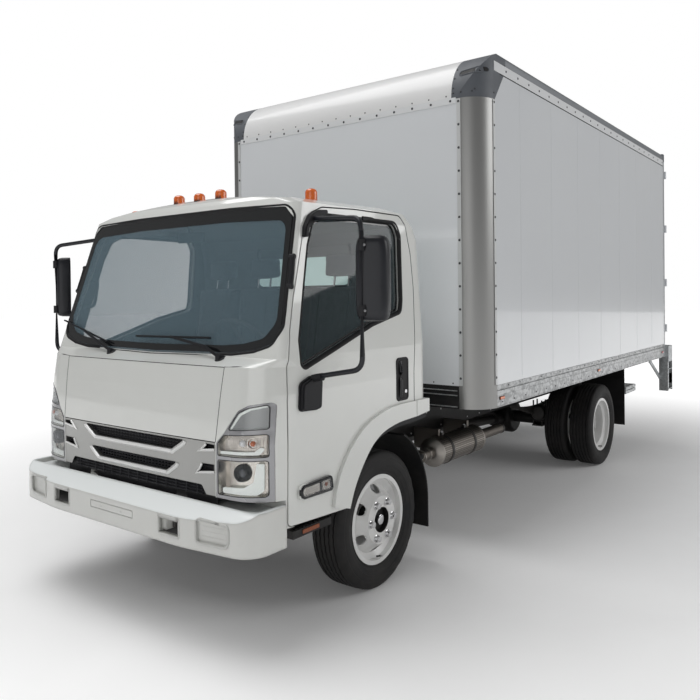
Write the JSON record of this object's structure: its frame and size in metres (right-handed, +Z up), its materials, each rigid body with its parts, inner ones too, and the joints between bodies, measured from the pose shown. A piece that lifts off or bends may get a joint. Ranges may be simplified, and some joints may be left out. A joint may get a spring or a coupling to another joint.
{
  "type": "box truck",
  "caption": "Medium cab-over box truck with a tilting two-door cab, dry freight body with rounded nose, swing rear doors, twin rear wheels and folded tail lift.",
  "frame": {"origin": "bottom centre of the bounding box, on the ground", "axes": "+X forward, +Y to the driver's left, +Z up"},
  "size_m": [7.095, 2.8624, 3.3919],
  "materials": {
    "white_paint": "gloss",
    "body_panel": "gloss",
    "aluminium_post": "satin",
    "galvanised": "satin",
    "black_frame": "satin",
    "black_plastic": "textured",
    "grey_plastic": "textured",
    "silver_trim": "metallic",
    "lamp_lens": "clear",
    "amber_lens": "gloss",
    "window_glass": "tinted",
    "tyre_rubber": "matte",
    "wheel_paint": "gloss",
    "cast_metal": "matte",
    "steel": "satin",
    "flap_rubber": "matte",
    "seat_cloth": "woven",
    "dash_plastic": "textured",
    "floor_wood": "matte"
  },
  "bodies": {
    "chassis": {"battery_box": "black_plastic", "body_rails": "aluminium_post", "body_walls": "body_panel", "cargo_floor": "floor_wood", "cargo_roof": "body_panel", "corner_caps": "grey_plastic", "corner_posts": "aluminium_post", "drive_shaft": "steel", "engine": "cast_metal", "exhaust": "steel", "floor_beams": "black_frame", "front_axle": "black_frame", "front_bumper": "white_paint", "fuel_tank": "black_frame", "ladder_frame": "black_frame", "leaf_springs": "black_frame", "mud_guards": "flap_rubber", "nose_cap": "body_panel", "radiator": "black_frame", "rear_axle": "black_frame", "rear_frame": "galvanised", "rear_steps": "galvanised", "tail_lift": "galvanised"},
    "cab": {"cab_shell": "white_paint", "arch_flares": "black_plastic", "windshield": "window_glass", "front_panel": "white_paint", "grille": "silver_trim", "headlamps": "lamp_lens", "wipers": "black_plastic", "roof_lamps": "amber_lens", "dashboard": "dash_plastic", "steering_wheel": "dash_plastic", "seats": "seat_cloth", "cab_steps": "black_plastic"},
    "cab_door_left": {"door_left": "white_paint", "door_glass_left": "window_glass", "mirror_left": "black_plastic"},
    "knuckle_body_left": {"knuckle_left": "cast_metal"},
    "front_wheel_body_left": {"front_wheel_left": "wheel_paint", "front_tyre_left": "tyre_rubber"},
    "rear_wheels_body_left": {"rear_wheels_left": "wheel_paint", "rear_tyres_left": "tyre_rubber"},
    "cargo_door_body_left": {"cargo_door_left": "body_panel"},
    "cab_door_right": {"door_right": "white_paint", "door_glass_right": "window_glass", "mirror_right": "black_plastic"},
    "knuckle_body_right": {"knuckle_right": "cast_metal"},
    "front_wheel_body_right": {"front_wheel_right": "wheel_paint", "front_tyre_right": "tyre_rubber"},
    "rear_wheels_body_right": {"rear_wheels_right": "wheel_paint", "rear_tyres_right": "tyre_rubber"},
    "cargo_door_body_right": {"cargo_door_right": "body_panel"}
  },
  "joints": [
    {"name": "cab_tilt", "type": "hinge", "parent": "chassis", "child": "cab", "pos_m": [3.3525, 0, 0.765], "axis": [0, 1, 0], "range_deg": [0, 45]},
    {"name": "cab_door_left_hinge", "type": "hinge", "parent": "cab", "child": "cab_door_left", "pos_m": [3.2225, 0.995, 1.4], "axis": [0, 0, -1], "range_deg": [0, 75]},
    {"name": "steer_left", "type": "hinge", "parent": "chassis", "child": "knuckle_body_left", "pos_m": [2.3525, 0.69, 0.404], "axis": [0, 0, 1], "range_deg": [-35, 35]},
    {"name": "front_wheel_left_roll", "type": "hinge", "parent": "knuckle_body_left", "child": "front_wheel_body_left", "pos_m": [2.3525, 0.8325, 0.404], "axis": [0, 1, 0], "continuous": true},
    {"name": "rear_wheels_left_roll", "type": "hinge", "parent": "chassis", "child": "rear_wheels_body_left", "pos_m": [-1.4575, 0.825, 0.404], "axis": [0, 1, 0], "continuous": true},
    {"name": "cargo_door_left_hinge", "type": "hinge", "parent": "chassis", "child": "cargo_door_body_left", "pos_m": [-3.3995, 1.224, 2.2], "axis": [0, 0, -1], "range_deg": [0, 265]},
    {"name": "cab_door_right_hinge", "type": "hinge", "parent": "cab", "child": "cab_door_right", "pos_m": [3.2225, -0.995, 1.4], "axis": [0, 0, 1], "range_deg": [0, 75]},
    {"name": "steer_right", "type": "hinge", "parent": "chassis", "child": "knuckle_body_right", "pos_m": [2.3525, -0.69, 0.404], "axis": [0, 0, 1], "range_deg": [-35, 35]},
    {"name": "front_wheel_right_roll", "type": "hinge", "parent": "knuckle_body_right", "child": "front_wheel_body_right", "pos_m": [2.3525, -0.8325, 0.404], "axis": [0, 1, 0], "continuous": true},
    {"name": "rear_wheels_right_roll", "type": "hinge", "parent": "chassis", "child": "rear_wheels_body_right", "pos_m": [-1.4575, -0.825, 0.404], "axis": [0, 1, 0], "continuous": true},
    {"name": "cargo_door_right_hinge", "type": "hinge", "parent": "chassis", "child": "cargo_door_body_right", "pos_m": [-3.3995, -1.224, 2.2], "axis": [0, 0, 1], "range_deg": [0, 265]}
  ],
  "couplings": [
    {"joint": "steer_right", "follows": "steer_left", "ratio": 1}
  ]
}
